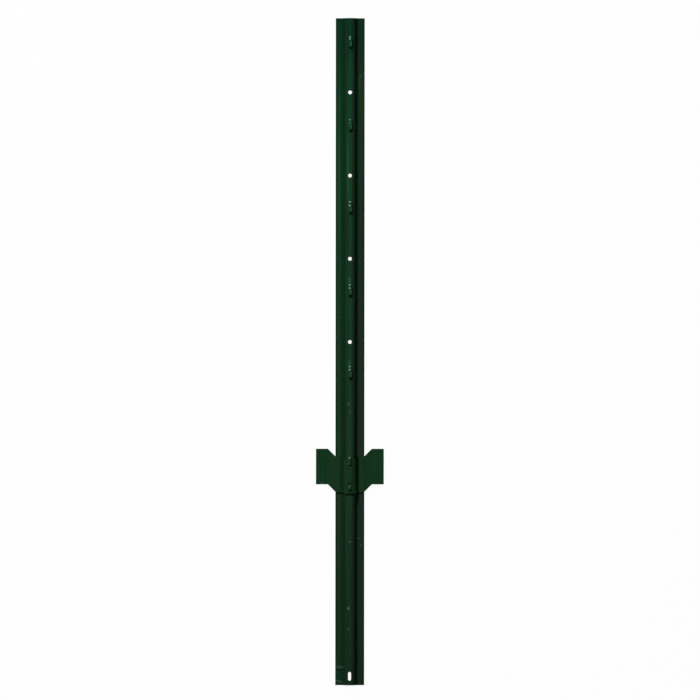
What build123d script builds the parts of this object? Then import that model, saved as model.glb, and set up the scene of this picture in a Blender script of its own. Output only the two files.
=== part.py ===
"""U-channel fence post, 3 ft, lying on its flanges with the crown up.

One steel strip is rolled to a channel, and its wire lugs and clinch tabs are lanced out of the crown. One anchor
plate, formed to the same section, sits over the crown and is held by the two clinch tabs.

Millimetres. +Y runs along the post towards its top end, +X across it, +Z out of the crown. The origin is midway
along the post, midway between its flange edges, in the plane of the flange backs.
"""
import os
from collections import namedtuple
from math import acos, atan2, cos, hypot, radians, sin, tan

from build123d import *

# Rolled channel
POST_LENGTH = 914.4       # end to end
POST_WIDTH = 39.6         # over the two flange edges
POST_DEPTH = 20.0         # flange backs to the top of the crown
SHEET = 1.9               # 14 gauge strip
WALL_SPAN = 20.0          # between the walls' outer faces, where they would meet the flange fronts
CROWN_RADIUS = 6.8        # outer face of the crown
FLANGE_BEND = 3.2         # inside of the bend between a wall and its flange
STRIP_EDGE = 0.4          # rounding of the strip's long edges

# Round holes and the slot near the foot, all on the crown's centre line
HOLE_COUNT = 4
HOLE_PITCH = 114.0
FIRST_HOLE = 101.9        # top end to the first hole's centre
HOLE_DIAMETER = 5.1
SLOT_LENGTH = 11.9        # over its round ends
SLOT_WIDTH = 4.1
SLOT_FROM_FOOT = 12.4     # foot end to the slot's centre

# Tongues lanced out of the crown: the wire lugs, and the two tabs that clinch the plate
TONGUE_SLOPE = radians(45)
TONGUE_BEND = 2.4         # radius of both bends, at the middle of the sheet
TONGUE_SPREAD = 0.15      # a tongue is coined this much wider, on each side, than its window
TIP_FLAT = 0.8            # straight part between the two rounded corners of a tip
LUG_COUNT = 5
LUG_PITCH = 113.2
FIRST_LUG = 39.9          # top end to the first lug's tip
LUG_LENGTH = 14.3         # crease to tip, seen from the front
LUG_WIDTH = 5.2
LUG_GAP = 2.4             # room for the fence wire under a lug
TAB_WIDTH = 4.2
UPPER_TAB_LENGTH = 12.6
LOWER_TAB_LENGTH = 8.4
TAB_CLEARANCE = 0.3       # between a tab and the plate, on every side

# Anchor plate
PLATE_SHEET = 1.9
PLATE_WIDTH = 93.0        # over the wings
PLATE_HEIGHT = 48.8       # of the wings, and of the middle
PLATE_DROP = 11.3         # how much lower the middle sits than the wings
PLATE_NECK = 37.6         # between the inner ends of the 45 degree edges
PLATE_DIP = 1.8           # how much further down both edges run over the crown
PLATE_FROM_TOP = 590.3    # post's top end to the wings' upper edge
WING_CORNER = 0.8         # rounding of the wings' outer corners
UPPER_TAB_ABOVE = 1.7     # upper tab's crease above the middle's upper edge
LOWER_TAB_ABOVE = 3.6     # lower tab's tip above the middle's lower edge

# How far cutters and blanks run past what they cut, and how close two places are to count as one
SPARE = 1.0
SAME_PLACE = 1e-3

# Worked out from the sizes above
TOP_END = POST_LENGTH / 2
FOOT_END = -POST_LENGTH / 2
CROWN_AXIS = POST_DEPTH - CROWN_RADIUS
AXIS_OVER_FLANGE = CROWN_AXIS - SHEET
WALL_LEAN = (acos(CROWN_RADIUS / hypot(WALL_SPAN / 2, AXIS_OVER_FLANGE))
             - atan2(AXIS_OVER_FLANGE, WALL_SPAN / 2))
BEND_REACH = TONGUE_BEND * tan(TONGUE_SLOPE / 2)
WING_TOP = TOP_END - PLATE_FROM_TOP
MIDDLE_TOP = WING_TOP - PLATE_DROP
MIDDLE_FOOT = MIDDLE_TOP - PLATE_HEIGHT

Tongue = namedtuple("Tongue", "width length gap tip")


def lugs():
    """The wire lugs, from the top down."""
    return [Tongue(LUG_WIDTH, LUG_LENGTH, LUG_GAP, TOP_END - FIRST_LUG - number * LUG_PITCH)
            for number in range(LUG_COUNT)]


def tabs():
    """The clinch tabs: one over the plate's upper edge and one through a slot near its lower edge."""
    gap = PLATE_SHEET + TAB_CLEARANCE
    upper_tip = MIDDLE_TOP + UPPER_TAB_ABOVE - UPPER_TAB_LENGTH
    lower_tip = MIDDLE_FOOT + LOWER_TAB_ABOVE
    return [Tongue(TAB_WIDTH, UPPER_TAB_LENGTH, gap, upper_tip),
            Tongue(TAB_WIDTH, LOWER_TAB_LENGTH, gap, lower_tip)]


def section_plane(y):
    """A plane across the post at y, seen from the top end, with its own Y up out of the crown."""
    return Plane(origin=(0, y, 0), x_dir=(1, 0, 0), z_dir=(0, -1, 0))


def skin(distance, half_span):
    """The section line that lies this far outside the channel's front face: flange, wall, crown, wall, flange."""
    radius = CROWN_RADIUS + distance
    level = SHEET + distance
    shoulder_x = radius * cos(WALL_LEAN)
    shoulder_z = CROWN_AXIS + radius * sin(WALL_LEAN)
    foot_x = shoulder_x + (shoulder_z - level) * tan(WALL_LEAN)
    side = FilletPolyline((half_span, level), (foot_x, level), (shoulder_x, shoulder_z),
                          radius=FLANGE_BEND - distance)
    crown = ThreePointArc((shoulder_x, shoulder_z), (0, CROWN_AXIS + radius), (-shoulder_x, shoulder_z))
    return [side, crown, mirror(side, about=Plane.YZ)]


def corners_at(face, half_width):
    """The corners of a face that lie at this distance from the centre line."""
    return [corner for corner in face.vertices() if abs(abs(corner.X) - half_width) < SAME_PLACE]


def sheet_section(inner, outer, half_span):
    """The section of a formed sheet between two skins."""
    ends = [Line((side * half_span, SHEET + inner), (side * half_span, SHEET + outer)) for side in (-1, 1)]
    return make_face(Curve() + skin(inner, half_span) + skin(outer, half_span) + ends)


def strip_section():
    """The section of the rolled strip, with its two long edges rounded."""
    half_width = POST_WIDTH / 2
    section = sheet_section(-SHEET, 0, half_width)
    return fillet(corners_at(section, half_width), STRIP_EDGE)


def crown_cutter(outline, y):
    """A plan outline made into a cutter that reaches through the crown and any plate on it."""
    return Pos(0, y, CROWN_AXIS) * extrude(outline, CROWN_RADIUS + PLATE_SHEET + SPARE)


def crease(tongue):
    """Where a tongue starts to leave the crown."""
    return tongue.tip + tongue.length


def tongue_solid(tongue):
    """The sheet of the crown carried along a side view of two bends, with the corners of its tip rounded."""
    start = crease(tongue) + BEND_REACH + SPARE
    middle = POST_DEPTH - SHEET / 2
    rise = SHEET + tongue.gap
    side_view = FilletPolyline(
        (0, start, middle),
        (0, crease(tongue), middle),
        (0, crease(tongue) - rise / tan(TONGUE_SLOPE), middle + rise),
        (0, tongue.tip, middle + rise),
        radius=TONGUE_BEND)
    band = Pos(0, CROWN_AXIS + CROWN_RADIUS) * Rectangle(tongue.width, 2 * CROWN_RADIUS)
    solid = sweep(section_plane(start) * (strip_section() & band), path=side_view)
    tip_corners = solid.edges().filter_by(Axis.Z).group_by(Axis.Y)[0]
    return fillet(tip_corners, (tongue.width - TIP_FLAT) / 2)


def tongue_window(tongue):
    """The window that a tongue leaves in the crown, from its first bend to its tip."""
    top = crease(tongue) + BEND_REACH
    foot = tongue.tip + TONGUE_SPREAD
    width = tongue.width - 2 * TONGUE_SPREAD
    outline = Rectangle(width, top - foot)
    tip_corners = outline.vertices().group_by(Axis.Y)[0]
    return crown_cutter(fillet(tip_corners, (width - TIP_FLAT) / 2), (top + foot) / 2)


def tab_slot(tab):
    """The slot in the plate where a tab rises through it, up to where the tab lies over the plate."""
    rise = SHEET + tab.gap
    top = crease(tab) + BEND_REACH + TAB_CLEARANCE
    foot = crease(tab) - rise / tan(TONGUE_SLOPE) - BEND_REACH - TAB_CLEARANCE
    return crown_cutter(Rectangle(tab.width + 2 * TAB_CLEARANCE, top - foot), (top + foot) / 2)


def post_channel():
    """The rolled strip, pierced and slotted, with its tongues raised."""
    channel = extrude(section_plane(TOP_END) * strip_section(), POST_LENGTH)
    for number in range(HOLE_COUNT):
        channel -= crown_cutter(Circle(HOLE_DIAMETER / 2), TOP_END - FIRST_HOLE - number * HOLE_PITCH)
    foot_slot = Rot(0, 0, 90) * SlotOverall(SLOT_LENGTH, SLOT_WIDTH)
    channel -= crown_cutter(foot_slot, FOOT_END + SLOT_FROM_FOOT)
    tongues = lugs() + tabs()
    for tongue in tongues:
        channel -= tongue_window(tongue)
    for tongue in tongues:
        channel += tongue_solid(tongue)
    return channel


def plate_outline():
    """The plate seen from the front: wings, 45 degree edges, and both edges dipping over the crown."""
    half_width, half_neck = PLATE_WIDTH / 2, PLATE_NECK / 2
    wing_root = half_neck + PLATE_DROP
    upper = [(0, MIDDLE_TOP - PLATE_DIP),
             (CROWN_RADIUS, MIDDLE_TOP - PLATE_DIP),
             (WALL_SPAN / 2, MIDDLE_TOP),
             (half_neck, MIDDLE_TOP),
             (wing_root, WING_TOP),
             (half_width, WING_TOP)]
    lower = [(x, y - PLATE_HEIGHT) for x, y in reversed(upper)]
    right = make_face(Polyline(*upper, *lower, close=True))
    outline = right + mirror(right, about=Plane.YZ)
    return fillet(corners_at(outline, half_width), WING_CORNER)


def anchor_plate():
    """A sheet formed over the front of the channel, trimmed to the outline and slotted for the tabs."""
    blank = section_plane(WING_TOP + SPARE) * sheet_section(0, PLATE_SHEET, PLATE_WIDTH / 2 + SPARE)
    formed = extrude(blank, PLATE_HEIGHT + PLATE_DROP + PLATE_DIP + 2 * SPARE)
    plate = formed & extrude(plate_outline(), POST_DEPTH + PLATE_SHEET + SPARE)
    for tab in tabs():
        plate -= tab_slot(tab)
    return plate


def main():
    os.makedirs("parts", exist_ok=True)
    pieces = {"post_channel": post_channel(), "anchor_plate": anchor_plate()}
    for name, piece in pieces.items():
        export_step(piece, f"parts/{name}.step")
        box = piece.bounding_box()
        print(name, "solids", len(piece.solids()), "volume", round(piece.volume), "valid", piece.is_valid,
              "min", box.min, "max", box.max)


main()
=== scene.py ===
# %% [markdown]
# # A green fence post, dressed in Blender
#
# The post is a strip of steel rolled to a U-channel, with an anchor plate clinched on near its foot. Its form
# is already modelled at real size, so this file loads it as a fixed frame, puts a camera over it, lights it,
# and gives the steel its coat of green paint. Every length in Blender is in metres.

# %% Load the frame
import math
from collections import namedtuple

import bpy
import numpy as np
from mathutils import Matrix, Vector

MM = 0.001

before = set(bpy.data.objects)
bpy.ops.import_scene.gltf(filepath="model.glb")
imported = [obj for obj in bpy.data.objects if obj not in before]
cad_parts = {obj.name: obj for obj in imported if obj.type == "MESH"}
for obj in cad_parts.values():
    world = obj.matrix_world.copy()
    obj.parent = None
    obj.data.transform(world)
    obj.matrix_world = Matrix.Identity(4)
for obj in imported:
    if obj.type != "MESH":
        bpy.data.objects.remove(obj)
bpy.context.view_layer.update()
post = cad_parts["post_channel"]
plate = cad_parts["anchor_plate"]

# %% [markdown]
# ## The camera
#
# The picture looks down on the crown, and the ends of a post nearly a metre long show as straight lines, so
# the camera is far away and its lens very long. An orthographic camera would draw them straight too, but a lens
# keeps a little perspective, as a photograph does. One pixel covers the same 1.371 mm along the whole post.
#
# The holes in the crown show a little to the left of the middle of the flanges, 19 mm below them, so the camera
# stands a little to the right. The post leans to the right by less than a tenth of a degree, and the camera is
# rolled by that much.

# %% Put the camera over the post
IMAGE_PIXELS = 700
MM_PER_PIXEL = 1.3713
POST_MIDDLE_PIXEL = (350.0, 351.7)
CAMERA_DISTANCE = 24.0
CAMERA_ROLL = math.radians(0.055)
CAMERA_SIDEWAYS = math.radians(0.6)
SENSOR_MM = 36.0
FARTHEST_SEEN = 3 * CAMERA_DISTANCE

field = IMAGE_PIXELS * MM_PER_PIXEL * MM
pixel = MM_PER_PIXEL * MM
aim = Vector(((IMAGE_PIXELS / 2 - POST_MIDDLE_PIXEL[0]) * pixel,
              (POST_MIDDLE_PIXEL[1] - IMAGE_PIXELS / 2) * pixel, 0))

camera_data = bpy.data.cameras.new("camera")
camera_data.sensor_width = SENSOR_MM
camera_data.lens = SENSOR_MM * CAMERA_DISTANCE / field
camera_data.clip_end = FARTHEST_SEEN
camera = bpy.data.objects.new("camera", camera_data)
camera.rotation_euler = (0, CAMERA_SIDEWAYS, CAMERA_ROLL)
camera.location = aim + camera.rotation_euler.to_matrix() @ Vector((0, 0, CAMERA_DISTANCE))
bpy.context.scene.collection.objects.link(camera)
bpy.context.scene.camera = camera
print("lens", round(camera_data.lens), "mm, field", round(field, 4), "m")

# %% [markdown]
# ## Node helpers
#
# A material is a tree of nodes. It could be drawn by hand in the shader editor, but written as code it can be
# read from top to bottom and run again. Colours are written as sRGB hex, as a paint chart gives them, and one
# function turns them to the linear values that Blender works in. One more function adds any node with its
# settings and links.

# %% Turn a hex colour to linear, and add a node
WHITE = (1.0, 1.0, 1.0, 1.0)


def linear(hex_colour):
    """Each channel c: c / 12.92 up to 0.04045, and ((c + 0.055) / 1.055) to the power 2.4 above it."""
    c = np.array([int(hex_colour[i:i + 2], 16) for i in (1, 3, 5)]) / 255
    return (*np.where(c <= 0.04045, c / 12.92, ((c + 0.055) / 1.055) ** 2.4), 1.0)


def node(tree, kind, inputs=(), **settings):
    """Adds a node, sets its properties, and fills its inputs: a socket is linked, and a value is set."""
    made = tree.nodes.new(kind)
    for name, value in settings.items():
        setattr(made, name, value)
    for name, value in dict(inputs).items():
        if isinstance(value, bpy.types.NodeSocket):
            tree.links.new(value, made.inputs[name])
        else:
            made.inputs[name].default_value = value
    return made


def empty_material(name):
    """A material with no nodes, and its tree."""
    material = bpy.data.materials.new(name)
    material.use_nodes = True
    material.node_tree.nodes.clear()
    return material, material.node_tree


# %% [markdown]
# ## Floor and room
#
# The post lies on white paper. Enough light to turn the paper white would wash out the dark green, so most of
# the paper's white is its own: rays from the camera and from any gloss see it as plain white. The rest is a
# matt surface, which keeps the post's soft shadow. Matt surfaces are lit by it as by grey paper, because white
# paper would fill the shaded side of the channel.
#
# The paper ends in a low white band round the horizon. The room above it is dim, so the enamel's gloss, which
# mirrors straight up from the flanges, lays no grey haze over the green.

# %% Lay the white floor
FLOOR_SIZE = 60.0
FLOOR_WHITE = "#f4f4f2"
FLOOR_BOUNCE = "#606060"
CLEAN_WHITE_SHARE = 0.97


def seen_ray(tree):
    """1 for rays from the camera, from a glossy bounce or through glass, 0 for light on matt surfaces."""
    rays = node(tree, "ShaderNodeLightPath")
    seen = node(tree, "ShaderNodeMath", {0: rays.outputs["Is Camera Ray"], 1: rays.outputs["Is Glossy Ray"]},
                operation="MAXIMUM")
    return node(tree, "ShaderNodeMath", {0: seen.outputs[0], 1: rays.outputs["Is Transmission Ray"]},
                operation="MAXIMUM").outputs[0]


def paper_material():
    """Matt white paper, whose white is seen as it is, apart from a share that takes the shadow."""
    material, tree = empty_material("white_matt_paper")
    seen = seen_ray(tree)
    share = node(tree, "ShaderNodeMath", {0: seen, 1: CLEAN_WHITE_SHARE}, operation="MULTIPLY")
    tint = node(tree, "ShaderNodeMixRGB",
                {"Fac": seen, "Color1": linear(FLOOR_BOUNCE), "Color2": linear(FLOOR_WHITE)})
    matt = node(tree, "ShaderNodeBsdfDiffuse", {"Color": tint.outputs[0]})
    clean = node(tree, "ShaderNodeEmission", {"Color": WHITE, "Strength": 1.0})
    both = node(tree, "ShaderNodeMixShader", {0: share.outputs[0], 1: matt.outputs[0], 2: clean.outputs[0]})
    node(tree, "ShaderNodeOutputMaterial", {"Surface": both.outputs[0]})
    return material


half_floor = FLOOR_SIZE / 2
floor_mesh = bpy.data.meshes.new("floor")
floor_mesh.from_pydata([(-half_floor, -half_floor, 0), (half_floor, -half_floor, 0),
                        (half_floor, half_floor, 0), (-half_floor, half_floor, 0)], [], [(0, 1, 2, 3)])
floor_mesh.materials.append(paper_material())
floor = bpy.data.objects.new("floor", floor_mesh)
bpy.context.scene.collection.objects.link(floor)
print("floor", FLOOR_SIZE, "m square")

# %% Make the room
ROOM_GREY = "#484848"
BAND_HEIGHT = 0.14    # of the way up from the horizon, 1 being straight up

room = bpy.data.worlds.new("room")
bpy.context.scene.world = room
room.use_nodes = True
air = room.node_tree
air.nodes.clear()
direction = node(air, "ShaderNodeTexCoord").outputs["Generated"]
height = node(air, "ShaderNodeSeparateXYZ", {"Vector": direction}).outputs["Z"]
near_horizon = node(air, "ShaderNodeMath", {0: height, 1: BAND_HEIGHT}, operation="LESS_THAN")
white_here = node(air, "ShaderNodeMath", {0: near_horizon.outputs[0], 1: seen_ray(air)}, operation="MULTIPLY")
dim = node(air, "ShaderNodeBackground", {"Color": linear(ROOM_GREY), "Strength": 1.0})
white = node(air, "ShaderNodeBackground", {"Color": WHITE, "Strength": 1.0})
shown = node(air, "ShaderNodeMixShader", {0: white_here.outputs[0], 1: dim.outputs[0], 2: white.outputs[0]})
node(air, "ShaderNodeOutputWorld", {"Surface": shown.outputs[0]})
print("room", ROOM_GREY, "over a white band up to", BAND_HEIGHT)

# %% [markdown]
# ## Light
#
# A lamp straight above would light both walls of the channel alike and flatten it. So the main soft box hangs
# beyond the top end, a little to the left, and rakes down the post: the crown shades its own right wall, and
# each wire lug throws a short shadow under its tip. It is small for its distance, so the shadows keep an edge
# and the gloss shows the lamp as a soft line along each bend. A wide, weak fill on the left brightens the left
# wall and flange. The powers are set so that a colour facing up renders about as it is written.

# %% Hang the soft boxes
def soft_box(name, place, aim_y, size, watts):
    """Hangs a square area lamp at a place in metres, turned to a point of the post this far along it."""
    data = bpy.data.lights.new(name, "AREA")
    data.shape = "SQUARE"
    data.size = size
    data.energy = watts
    lamp = bpy.data.objects.new(name, data)
    lamp.location = place
    lamp.rotation_euler = (Vector((0, aim_y, 0)) - Vector(place)).to_track_quat("-Z", "Y").to_euler()
    bpy.context.scene.collection.objects.link(lamp)


soft_box("key_light", place=(-0.7, 2.2, 2.66), aim_y=0.0, size=0.65, watts=102)
soft_box("left_fill", place=(-1.8, 2.2, 1.4), aim_y=0.1, size=1.6, watts=16)
bpy.context.scene.view_settings.view_transform = "Standard"

# %% [markdown]
# ## The paint
#
# Light posts are dipped in a dark green alkyd enamel and hung up to drip. One flat green under a gloss would
# look like moulded plastic, because a dipped coat is nowhere even. It lies a tenth of a millimetre thick, so
# the rolling lines of the steel show through it as streaks along the post, and it dries with a slight orange
# peel. Towards the foot and on the right the green turns greyer: partly weathering, and partly painted shade,
# for the light falling off down the post and for the crown's shaded right side. The coat has chalked, which
# takes most of its mirror and leaves soft highlights.
#
# So the colour is built in layers, each mixed over the last by a mask: fresh and greyer paint, streaks and
# stains, bands that follow the bends, and last the small marks. Among the bands and marks are painted shade and
# painted highlights. All of them read Object coordinates, which are metres on the post itself, so a mask sits
# at a real place and its size is a real size.

# %% Fresh paint turns greyer, with painted shade
CLOUD_MM, CLOUD_DETAIL = 60.0, 3.0    # uneven weather, in clouds a few centimetres wide
CLOUD_SWING = 0.5                     # from the palest cloud to the darkest, where 1 is all the way from fresh to greyer
GREYING_TOP_MM = 300.0                # nearer to the top end than this the paint is fresh
GREYING_FOOT_MM = -230.0              # nearer to the foot than this it is all greyer: weathering, and painted shade for the fall of the light
RIGHT_SHADE_MM = (0.0, 9.0)          # painted shade: it turns greyer to the right over this stretch of x, on the crown's shaded side
RIGHT_SHADE_SHARE = 0.85


def weathered_and_shaded_coat(tree, axes, clouds, enamel):
    """Fresh paint mixed to greyer by the larger of a ramp down y (partly painted shade) and a ramp along x
    (painted shade), plus the clouds.
    """
    down = node(tree, "ShaderNodeMapRange",
                {"Value": axes.outputs["Y"], "From Min": GREYING_TOP_MM * MM, "From Max": GREYING_FOOT_MM * MM,
                 "To Min": 0.0, "To Max": 1.0})
    aside = node(tree, "ShaderNodeMapRange",
                 {"Value": axes.outputs["X"], "From Min": RIGHT_SHADE_MM[0] * MM,
                  "From Max": RIGHT_SHADE_MM[1] * MM, "To Min": 0.0, "To Max": RIGHT_SHADE_SHARE})
    # The larger of the two ramps: both carry painted shade, the one down y together with real weathering.
    worst = node(tree, "ShaderNodeMath", {0: down.outputs[0], 1: aside.outputs[0]}, operation="MAXIMUM")
    uneven = node(tree, "ShaderNodeMath", {0: clouds.outputs["Fac"], 1: CLOUD_SWING, 2: -CLOUD_SWING / 2},
                  operation="MULTIPLY_ADD")
    weather_and_shade = node(tree, "ShaderNodeMath", {0: worst.outputs[0], 1: uneven.outputs[0]}, operation="ADD",
                   use_clamp=True)
    return node(tree, "ShaderNodeMixRGB", {"Fac": weather_and_shade.outputs[0], "Color1": linear(enamel.fresh),
                                           "Color2": linear(enamel.weathered)}).outputs[0]


# %% Streak the coat along the post
# Real rolling lines are a few tenths of a millimetre wide. They are drawn as coarse as they need to be to show
# at one pixel for each 1.4 mm.
STREAK_MM, STREAK_DETAIL = 2.2, 2.0
STAIN_MM, STAIN_DETAIL = 5.0, 1.0
STREAK_STRETCH = 0.03                 # a streak is some thirty times as long as it is wide
STREAK_SHARE = 0.75
LIGHT_FROM_TO = (0.5, 0.75)           # a layer starts at the first noise value and is full at the second
DARK_FROM_TO = (0.5, 0.25)
STAIN_FROM_TO = (0.5, 0.7)


def streaked_coat(tree, place, coat, enamel):
    """Light and dark rolling lines and wider stains: noise stretched along y, mixed over the coat."""
    along = node(tree, "ShaderNodeMapping", {"Vector": place, "Scale": (1, STREAK_STRETCH, 1)}).outputs[0]
    lines = node(tree, "ShaderNodeTexNoise",
                 {"Vector": along, "Scale": 1 / (STREAK_MM * MM), "Detail": STREAK_DETAIL})
    stains = node(tree, "ShaderNodeTexNoise",
                  {"Vector": along, "Scale": 1 / (STAIN_MM * MM), "Detail": STAIN_DETAIL})
    for noise, (start, full), colour in ((lines, LIGHT_FROM_TO, enamel.light_streak),
                                         (lines, DARK_FROM_TO, enamel.dark_streak),
                                         (stains, STAIN_FROM_TO, enamel.stain)):
        share = node(tree, "ShaderNodeMapRange",
                     {"Value": noise.outputs["Fac"], "From Min": start, "From Max": full,
                      "To Min": 0.0, "To Max": STREAK_SHARE})
        coat = node(tree, "ShaderNodeMixRGB", {"Fac": share.outputs[0], "Color1": coat,
                                               "Color2": linear(colour)}).outputs[0]
    return coat


# %% Masks for bands and marks
MARK_FULL_TO, MARK_GONE_AT = 0.5, 1.3    # in half widths of the mark from its middle


def in_band(tree, axes, band):
    """The band's share on its line along the post at x and z, falling smoothly to 0 at its reach from it."""
    place = node(tree, "ShaderNodeCombineXYZ", {"X": axes.outputs["X"], "Z": axes.outputs["Z"]})
    away = node(tree, "ShaderNodeVectorMath", {0: place.outputs[0], 1: (band.x * MM, 0, band.z * MM)},
                operation="DISTANCE")
    return node(tree, "ShaderNodeMapRange",
                {"Value": away.outputs["Value"], "From Min": 0.0, "From Max": band.reach * MM,
                 "To Min": band.share, "To Max": 0.0}, interpolation_type="SMOOTHSTEP").outputs[0]


def in_spot(tree, place, mark):
    """The mark's share, by the length of (x from its middle / half its width, y from it / half its length)."""
    shrink = (2 / (mark.width * MM), 2 / (mark.length * MM), 0)
    back = tuple(-at * MM * scale for at, scale in zip((mark.x, mark.y, 0), shrink))
    around = node(tree, "ShaderNodeMapping", {"Vector": place, "Location": back, "Scale": shrink})
    away = node(tree, "ShaderNodeVectorMath", {0: around.outputs[0]}, operation="LENGTH")
    return node(tree, "ShaderNodeMapRange",
                {"Value": away.outputs["Value"], "From Min": MARK_FULL_TO, "From Max": MARK_GONE_AT,
                 "To Min": mark.share, "To Max": 0.0}, interpolation_type="SMOOTHSTEP").outputs[0]


# %% Mix the enamel
# Alkyd enamel has an IOR near 1.5. The specular level is far under the usual 0.5 and the roughness fairly high,
# because the coat has chalked: no sharp mirror is left, only a soft sheen along the bends.
ENAMEL_IOR = 1.5
ENAMEL_SPECULAR = 0.012
ENAMEL_ROUGHNESS = 0.24
CHALKED_ROUGHNESS = ENAMEL_ROUGHNESS + 0.04
CHALK_FROM_TO = (0.3, 0.7)            # cloud values between which the gloss turns chalky
PEEL_MM, PEEL_DETAIL = 1.6, 2.0       # from dimple to dimple of the orange peel
PEEL_DEPTH_MM = 0.01
PEEL_STRENGTH = 0.4

Band = namedtuple("Band", "x z reach colour share")
Mark = namedtuple("Mark", "x y width length colour share")
Enamel = namedtuple("Enamel", "fresh weathered light_streak dark_streak stain bands")


def enamel_material(name, enamel, marks):
    """Dip-painted steel: the greyer, streaked coat with its bands and marks, some of them painted shade and
    highlights, under a soft chalked gloss.
    """
    material, tree = empty_material(name)
    place = node(tree, "ShaderNodeTexCoord").outputs["Object"]
    axes = node(tree, "ShaderNodeSeparateXYZ", {"Vector": place})
    clouds = node(tree, "ShaderNodeTexNoise",
                  {"Vector": place, "Scale": 1 / (CLOUD_MM * MM), "Detail": CLOUD_DETAIL})
    coat = streaked_coat(tree, place, weathered_and_shaded_coat(tree, axes, clouds, enamel), enamel)
    layers = [(in_band(tree, axes, band), band.colour) for band in enamel.bands]
    layers += [(in_spot(tree, place, mark), mark.colour) for mark in marks]
    for share, colour in layers:
        coat = node(tree, "ShaderNodeMixRGB", {"Fac": share, "Color1": coat,
                                               "Color2": linear(colour)}).outputs[0]

    peel = node(tree, "ShaderNodeTexNoise",
                {"Vector": place, "Scale": 1 / (PEEL_MM * MM), "Detail": PEEL_DETAIL})
    relief = node(tree, "ShaderNodeBump", {"Height": peel.outputs["Fac"], "Distance": PEEL_DEPTH_MM * MM,
                                           "Strength": PEEL_STRENGTH})
    chalk = node(tree, "ShaderNodeMapRange",
                 {"Value": clouds.outputs["Fac"], "From Min": CHALK_FROM_TO[0], "From Max": CHALK_FROM_TO[1],
                  "To Min": ENAMEL_ROUGHNESS, "To Max": CHALKED_ROUGHNESS})
    gloss = node(tree, "ShaderNodeBsdfPrincipled",
                 {"Base Color": coat, "Normal": relief.outputs[0], "Roughness": chalk.outputs[0],
                  "IOR": ENAMEL_IOR, "Specular IOR Level": ENAMEL_SPECULAR})
    node(tree, "ShaderNodeOutputMaterial", {"Surface": gloss.outputs[0]})
    return material


# %% [markdown]
# ## Bands
#
# Along its whole length the post has painted shade in the left bend and up the left wall, on the right flange
# where the crown partly hides it from the light, deep green in the groove of its right wall, and on the strip's
# two edges. Its crown is rubbed paler. A mask from the steel's own corners would find all bends alike, so each
# band is a line along the post with its own place in the section, reach and strength. The plate, one sheet
# further out, has its own. Places are in millimetres, x across the post and z up from the floor.

# %% Lay the bands
BEND_SHADE = "#0a2e10"     # painted shade in the left bend and up the left wall
RIGHT_FLANGE_SHADE = "#202f23"    # painted shade, in a greyer green, where the crown partly hides the right flange from the light
RUBBED = "#20482e"     # worn by other posts in the stack
GROOVE_SHADE = "#002208"     # painted shade: deep green in the groove of the right wall, which lies in the crown's shadow
# painted shade on the strip's edges, and painted shadow along the plate's lower edge
EDGE_SHADE = "#020b03"

post_bands = [
    # painted shade in the left bend and up the left wall
    Band(-11.0, 2.4, 4.4, BEND_SHADE, 0.7),
    Band(-6.6, 15.0, 6.0, BEND_SHADE, 0.65),
    # painted shade on the right flange
    Band(15.5, 1.0, 8.5, RIGHT_FLANGE_SHADE, 0.6),
    Band(1.6, 19.7, 5.0, RUBBED, 0.5),
    # painted shade in the groove of the right wall
    Band(6.9, 13.4, 6.5, GROOVE_SHADE, 0.88),
    # painted shade on the strip's two edges
    Band(-19.4, 1.6, 2.6, EDGE_SHADE, 0.55),
    Band(19.4, 1.6, 2.8, EDGE_SHADE, 0.6),
]
plate_bands = [
    # painted shade in the plate's left bend
    Band(-11.2, 5.2, 6.5, BEND_SHADE, 0.6),
    Band(2.6, 21.6, 5.5, RUBBED, 0.25),
    # painted shade in the plate's right groove
    Band(9.0, 10.5, 4.0, GROOVE_SHADE, 0.55),
]
print("bands", len(post_bands), "on the post,", len(plate_bands), "on the plate")

# %% [markdown]
# ## Marks
#
# Drying, stacking and carrying leave marks that no noise would put in the right places: duller streaks, pale
# scuffs where another post rubbed off the gloss, bluer patches of thick paint, an olive patch of thin paint on
# the right flange near the top, and the sagged edge of the dip on the left flange at the foot. Painted
# highlights go on the crown, the left flange, the lugs and tabs, a drip on the plate's edge and the sag, and
# painted shadow along the plate's lower edge and under the sag. So they are painted one by one. Each is an
# ellipse with a soft edge, in millimetres from the middle of the post, x across and y along it, and a later one
# lies over an earlier one.

# %% Mark the post
SCUFF_AND_HIGHLIGHT = "#5d7f6c"         # pale: spots with the gloss rubbed off, and painted highlights
THICK = "#0f3d30"         # bluer, where paint stood in a drop
THIN = "#22381a"          # olive, where steel shows through
DIRT = "#22150a"
END_GREEN = "#0a2e1e"     # the darker top end
DEEP_DROP = "#0b3a26"     # a drop of fresh paint under a lug
FLANGE_HIGHLIGHT = "#1c5234"    # painted highlight down the left flange, and its brightest stretch
FLANGE_HIGHLIGHT_TOP = "#1f6a44"
CREASE_HIGHLIGHT = "#2a6a4a"    # painted highlight on the crown just above a lug
CROWN_HIGHLIGHT = "#2a6f4c"      # a painted highlight down the crown
OLIVE_RUN = "#1c2c10"     # thin paint down the left wall
BROWN_RUN = "#2c3822"     # browner paint beside the left bend, low on the post
THIN_RIM = "#3d5f42"      # rim of the olive patch, and its upper corner
THIN_CORNER = "#4a7a52"
DULL = "#2c4433"          # lower right flange
DULL_CROWN = "#14301c"    # crown near the foot
PLATE_SHADOW_SHARE = 0.2     # painted shadow along the plate's lower edge, on the post and on the plate alike

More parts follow.
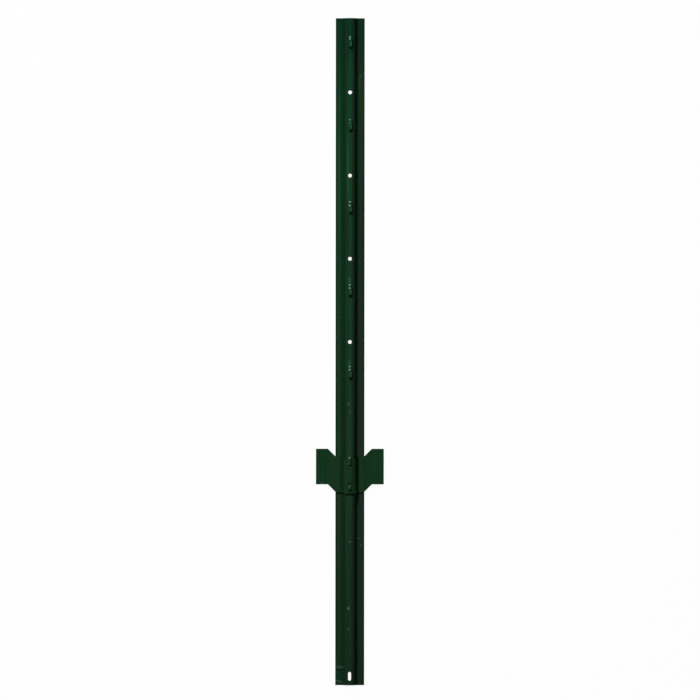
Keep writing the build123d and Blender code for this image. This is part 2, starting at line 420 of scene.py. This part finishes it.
post_marks = [
    Mark(0.0, 454.0, 60.0, 110.0, END_GREEN, 0.6),
    Mark(-7.6, 420.0, 5.0, 120.0, OLIVE_RUN, 0.5),
    # painted highlight down the left flange
    Mark(-15.0, 110.0, 6.0, 700.0, FLANGE_HIGHLIGHT, 0.24),
    # painted shadow under the plate's lower edge
    Mark(6.0, -194.0, 48.0, 2.2, EDGE_SHADE, PLATE_SHADOW_SHARE),
    # painted highlights on the upper and lower tabs
    Mark(-0.6, -153.6, 2.6, 2.0, SCUFF_AND_HIGHLIGHT, 0.35),
    Mark(-0.4, -184.8, 3.0, 3.0, SCUFF_AND_HIGHLIGHT, 0.3),
    Mark(-1.0, 303.6, 7.0, 7.0, DEEP_DROP, 0.5),
    # painted highlights above the fourth and fifth lugs
    Mark(-0.4, 98.0, 4.0, 10.0, CREASE_HIGHLIGHT, 0.5),
    Mark(-0.4, -15.0, 4.0, 10.0, CREASE_HIGHLIGHT, 0.4),
    # painted highlight down the crown above the third lug
    Mark(-2.9, 250.0, 2.6, 100.0, CROWN_HIGHLIGHT, 0.3),
    # painted highlight high on the left flange
    Mark(-15.4, 250.0, 4.0, 160.0, FLANGE_HIGHLIGHT_TOP, 0.18),
    Mark(17.0, 296.0, 4.4, 84.0, THIN, 0.5),
    Mark(13.0, 366.0, 1.8, 26.0, THIN_RIM, 0.5),
    Mark(14.2, 377.5, 4.0, 2.4, THIN_CORNER, 0.5),
    Mark(14.0, -200.0, 12.0, 560.0, DULL, 0.3),
    Mark(-13.2, -250.0, 3.4, 420.0, BROWN_RUN, 0.4),
    Mark(0.5, -350.0, 11.0, 260.0, DULL_CROWN, 0.25),
    Mark(16.0, 352.0, 9.0, 70.0, THIN, 0.8),
    Mark(7.5, 412.0, 4.0, 36.0, DIRT, 0.6),
    Mark(-1.6, -72.1, 1.6, 4.0, SCUFF_AND_HIGHLIGHT, 0.6),
    Mark(0.4, -82.1, 1.4, 3.4, SCUFF_AND_HIGHLIGHT, 0.6),
    Mark(-0.2, -129.3, 1.6, 3.0, SCUFF_AND_HIGHLIGHT, 0.3),
    Mark(-0.1, -260.5, 3.6, 2.4, SCUFF_AND_HIGHLIGHT, 0.4),
    Mark(-0.2, -271.2, 5.0, 10.0, THICK, 0.6),
    Mark(10.9, -255.5, 6.0, 2.0, SCUFF_AND_HIGHLIGHT, 0.35),
    Mark(15.0, -265.8, 1.6, 3.4, SCUFF_AND_HIGHLIGHT, 0.5),
    Mark(-1.6, -351.1, 5.4, 8.0, THICK, 0.5),
    Mark(-1.7, -351.6, 3.0, 4.6, SCUFF_AND_HIGHLIGHT, 0.7),
    Mark(-1.5, -379.7, 2.2, 3.0, SCUFF_AND_HIGHLIGHT, 0.5),
]

# %% Mark the lugs
# Each lug holds a little bluer paint, a painted highlight down its right edge, and a painted highlight on each
# of its bends.
LUG_TIP_MM, LUG_PITCH_MM = 417.3, 113.2
UPPER_TAB_TIP_MM = -155.3
TONGUE_LINE = -0.4        # x of the line down the tongues along which the highlights are painted
BEND_HIGHLIGHT = "#97c4ab"         # painted highlight on a bend
LUG_PAINT = "#1a5a3c"
# painted highlight down a lug's right edge
LUG_EDGE_HIGHLIGHT = "#4c8a6a"

HighlightSpot = namedtuple("HighlightSpot", "above_tip share")
lug_highlight_spots = [
    (HighlightSpot(13.8, 0.65), HighlightSpot(11.2, 0.5)),
    (HighlightSpot(13.8, 0.4), HighlightSpot(9.2, 0.2)),
    (HighlightSpot(14.4, 0.75), HighlightSpot(9.4, 0.85)),
    (HighlightSpot(14.0, 0.7), HighlightSpot(9.4, 0.8)),
    (HighlightSpot(15.2, 0.75), HighlightSpot(11.0, 0.7)),
]
for number, highlight_spots in enumerate(lug_highlight_spots):
    tip = LUG_TIP_MM - number * LUG_PITCH_MM
    post_marks.append(Mark(TONGUE_LINE, tip + 5.0, 4.4, 12.0, LUG_PAINT, 0.3))
    post_marks.append(Mark(1.6, tip + 4.5, 1.4, 8.0, LUG_EDGE_HIGHLIGHT, 0.35))
    post_marks += [Mark(TONGUE_LINE, tip + highlight_spot.above_tip, 2.2, 1.8, BEND_HIGHLIGHT, highlight_spot.share) for highlight_spot in highlight_spots]
# painted highlight on the upper tab's bend
post_marks.append(Mark(TONGUE_LINE, UPPER_TAB_TIP_MM + 9.4, 2.4, 1.8, BEND_HIGHLIGHT, 0.55))

# %% Mark the foot and the plate
# At the foot the coat ends in thick paint, which sagged. The pale lines across the left flange there are
# painted highlights on the sag, and the dark lines painted shade under it.
SAG_SHADE = "#0a1c12"

post_marks += [
    Mark(-14.5, -432.5, 13.0, 4.0, SCUFF_AND_HIGHLIGHT, 0.25),
    Mark(-14.0, -436.0, 14.0, 1.6, SAG_SHADE, 0.7),
    Mark(-14.0, -444.5, 12.0, 14.0, THICK, 0.6),
    Mark(-16.5, -451.0, 6.0, 2.0, SCUFF_AND_HIGHLIGHT, 0.4),
    Mark(-12.5, -452.8, 6.0, 2.0, SCUFF_AND_HIGHLIGHT, 0.4),
    Mark(-14.5, -455.0, 12.0, 2.0, SAG_SHADE, 0.6),
]
plate_marks = [
    # painted highlight on a drip at the plate's lower edge
    Mark(-37.7, -180.8, 4.4, 2.4, SCUFF_AND_HIGHLIGHT, 0.5),
    # painted shadow and shade along the plate's lower edge
    Mark(6.0, -192.8, 48.0, 2.0, EDGE_SHADE, PLATE_SHADOW_SHARE),
    Mark(0.0, -194.8, 15.0, 2.0, EDGE_SHADE, 0.3),
]
print("marks", len(post_marks), "on the post,", len(plate_marks), "on the plate")

# %% [markdown]
# ## Two coats
#
# The plate's green is a little brighter than the post's, and its pressed sheet shows fainter lines than the
# rolled strip. One material for both would lose that, so the two share one recipe, and each has its own greens.

# %% Paint the two pieces
# The greyer green stands for weathering, and in part for painted shade.
post_enamel = Enamel(fresh="#0e3a25", weathered="#213c2a", light_streak="#1e442d", dark_streak="#102c1b",
                     stain="#24301c", bands=post_bands)
plate_enamel = Enamel(fresh="#153e25", weathered="#1a3d24", light_streak="#1f452b", dark_streak="#13341f",
                      stain="#243a21", bands=plate_bands)
paints = {post: enamel_material("green_enamel_on_rolled_strip", post_enamel, post_marks),
          plate: enamel_material("green_enamel_on_pressed_sheet", plate_enamel, plate_marks)}
for piece, paint in paints.items():
    piece.data.materials.clear()
    piece.data.materials.append(paint)
print("painted", post.name, "and", plate.name)
